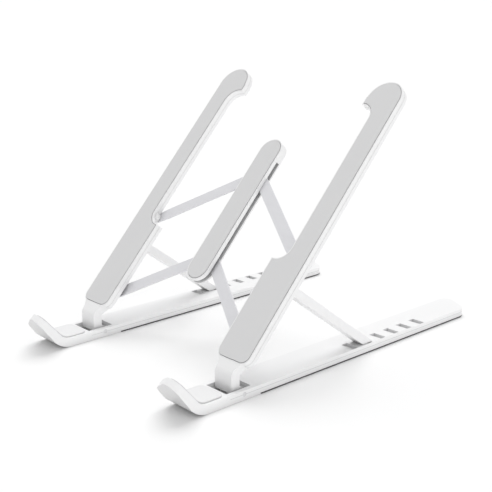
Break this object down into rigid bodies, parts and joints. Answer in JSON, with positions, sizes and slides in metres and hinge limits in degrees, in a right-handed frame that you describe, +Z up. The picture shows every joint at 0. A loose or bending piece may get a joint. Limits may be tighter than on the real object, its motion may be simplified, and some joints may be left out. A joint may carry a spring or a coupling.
{
  "type": "laptop stand",
  "caption": "Folding laptop stand with two sloping arms on hooked legs, prop struts, and a centre bar on crossed flat links.",
  "frame": {"origin": "centre of the footprint, on the ground plane", "axes": "+X to the right side, +Y towards the tails at the back, +Z up"},
  "size_m": [0.157, 0.255, 0.1592],
  "materials": {
    "white_shell": "satin moulded white",
    "pad_silicone": "matte silicone, light grey",
    "hook_silicone": "matte silicone, very light grey",
    "sole_rubber": "matte dark rubber",
    "link_metal": "satin anodised",
    "pin_steel": "turned steel"
  },
  "bodies": {
    "centre_bar": {"bar_shell": "white_shell", "bar_pad": "pad_silicone", "bar_cover": "white_shell", "bar_upper_pins": "pin_steel", "bar_lower_pins": "pin_steel", "bar_washers": "pin_steel", "bar_screws": "pin_steel"},
    "left_upper_bar": {"left_upper_link": "link_metal"},
    "left_lower_bar": {"left_lower_link": "link_metal"},
    "left_arm": {"left_arm_shell": "white_shell", "left_arm_pad": "pad_silicone", "left_strut_pin": "pin_steel", "left_link_rivets": "pin_steel", "left_link_washer": "pin_steel"},
    "left_foot": {"left_leg": "white_shell", "left_sole": "sole_rubber", "left_hook_pad": "hook_silicone", "left_hinge_pin": "pin_steel"},
    "left_prop": {"left_strut": "white_shell"},
    "right_upper_bar": {"right_upper_link": "link_metal"},
    "right_lower_bar": {"right_lower_link": "link_metal"},
    "right_arm": {"right_arm_shell": "white_shell", "right_arm_pad": "pad_silicone", "right_strut_pin": "pin_steel", "right_link_rivets": "pin_steel", "right_link_washer": "pin_steel"},
    "right_foot": {"right_leg": "white_shell", "right_sole": "sole_rubber", "right_hook_pad": "hook_silicone", "right_hinge_pin": "pin_steel"},
    "right_prop": {"right_strut": "white_shell"}
  },
  "joints": [
    {"name": "side_fold", "type": "hinge", "parent": "centre_bar", "child": "left_upper_bar", "pos_m": [-0.0048, 0.00102, 0.09816], "axis": [0, -0.7337, 0.6794], "range_deg": [0, 48]},
    {"name": "left_lower_link_turn", "type": "hinge", "parent": "centre_bar", "child": "left_lower_bar", "pos_m": [-0.0048, -0.03852, 0.05369], "axis": [0, -0.7337, 0.6794], "range_deg": [0, 48]},
    {"name": "left_arm_turn", "type": "hinge", "parent": "left_upper_bar", "child": "left_arm", "pos_m": [-0.064, -0.0282, 0.0666], "axis": [0, -0.7337, 0.6794], "range_deg": [-48, 0]},
    {"name": "right_upper_link_turn", "type": "hinge", "parent": "centre_bar", "child": "right_upper_bar", "pos_m": [0.0048, 0.00102, 0.09816], "axis": [0, -0.7337, 0.6794], "range_deg": [-48, 0]},
    {"name": "right_lower_link_turn", "type": "hinge", "parent": "centre_bar", "child": "right_lower_bar", "pos_m": [0.0048, -0.03852, 0.05369], "axis": [0, -0.7337, 0.6794], "range_deg": [-48, 0]},
    {"name": "right_arm_turn", "type": "hinge", "parent": "right_upper_bar", "child": "right_arm", "pos_m": [0.064, -0.0282, 0.0666], "axis": [0, -0.7337, 0.6794], "range_deg": [0, 48]},
    {"name": "left_leg_fold", "type": "hinge", "parent": "left_arm", "child": "left_foot", "pos_m": [-0.0657, -0.07934, 0.0035], "axis": [1, 0, 0], "range_deg": [0, 47.2]},
    {"name": "left_strut_swing", "type": "hinge", "parent": "left_arm", "child": "left_prop", "pos_m": [-0.0716, -0.04257, 0.05484], "axis": [1, 0, 0], "range_deg": [0, 83.62]},
    {"name": "right_leg_fold", "type": "hinge", "parent": "right_arm", "child": "right_foot", "pos_m": [0.0657, -0.07934, 0.0035], "axis": [1, 0, 0], "range_deg": [0, 47.2]},
    {"name": "right_strut_swing", "type": "hinge", "parent": "right_arm", "child": "right_prop", "pos_m": [0.0716, -0.04257, 0.05484], "axis": [1, 0, 0], "range_deg": [0, 83.62]}
  ],
  "couplings": [
    {"joint": "left_lower_link_turn", "follows": "side_fold", "ratio": 1},
    {"joint": "left_arm_turn", "follows": "side_fold", "ratio": -1},
    {"joint": "right_upper_link_turn", "follows": "side_fold", "ratio": -1},
    {"joint": "right_lower_link_turn", "follows": "side_fold", "ratio": -1},
    {"joint": "right_arm_turn", "follows": "side_fold", "ratio": 1},
    {"joint": "left_strut_swing", "follows": "left_leg_fold", "ratio": 1.7712},
    {"joint": "right_strut_swing", "follows": "right_leg_fold", "ratio": 1.7712}
  ]
}
